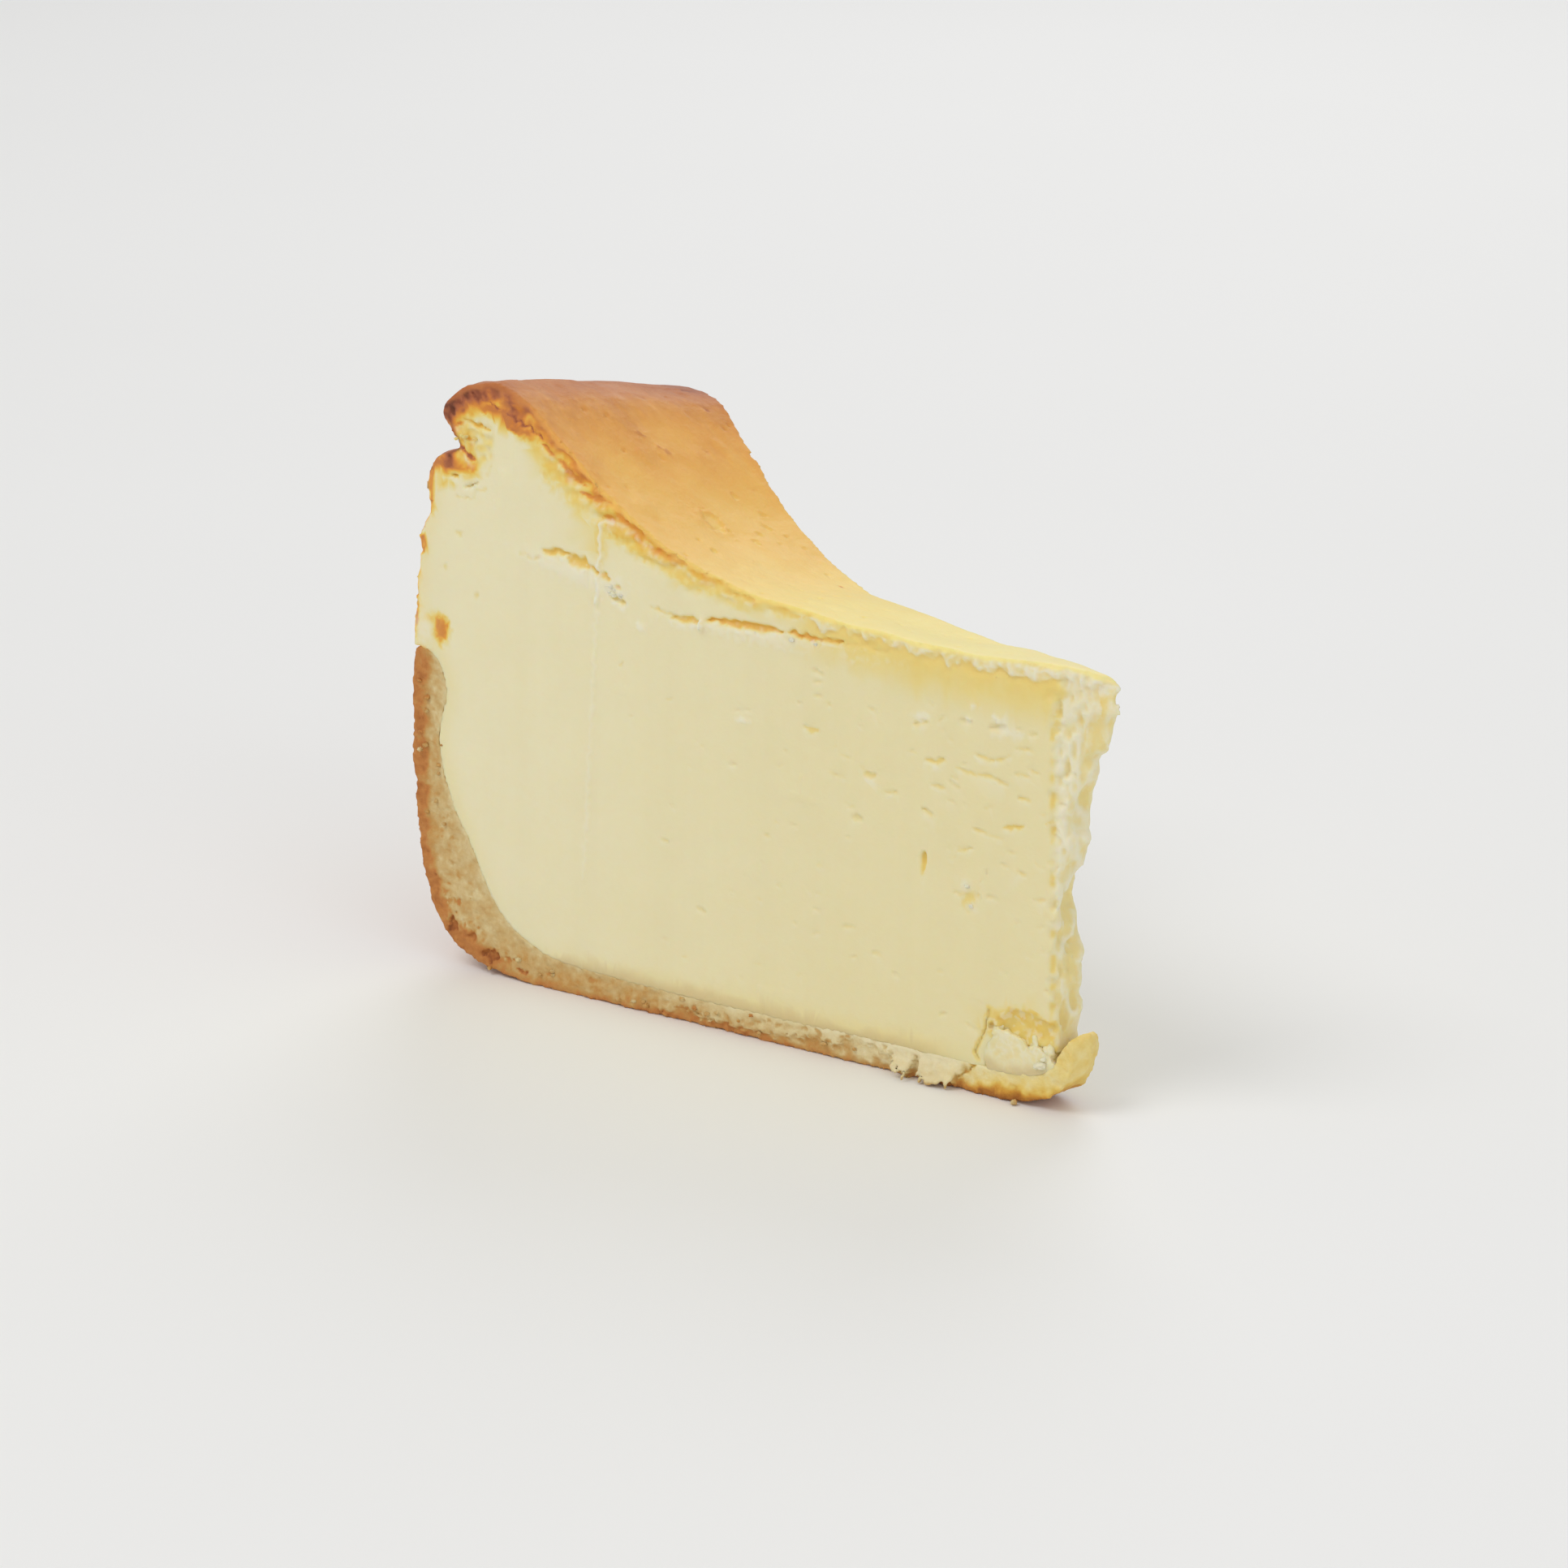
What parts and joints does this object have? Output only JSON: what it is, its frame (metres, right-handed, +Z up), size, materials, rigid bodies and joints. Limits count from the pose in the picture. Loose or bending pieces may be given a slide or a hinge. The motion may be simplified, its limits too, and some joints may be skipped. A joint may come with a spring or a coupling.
{
  "type": "baked cheesecake slice",
  "caption": "Wedge of tall baked cheesecake with a browned, mushroomed rim, a smooth cut custard face and a pastry crust; it stands on its flat base as food on a plate.",
  "frame": {"origin": "middle of the bounding box on the plane the slice stands on", "axes": "+X from the baked rim to the thin end, +Y from the front cut face to the back one, +Z up"},
  "size_m": [0.1082, 0.0448, 0.0836],
  "materials": {
    "custard": "smooth moist baked custard, browned skin on top",
    "pastry": "crumbly golden-brown pastry",
    "torn_custard": "torn, rough custard"
  },
  "bodies": {
    "root": {"filling": "custard", "crust": "pastry", "tip_fragment": "torn_custard"}
  },
  "joints": []
}
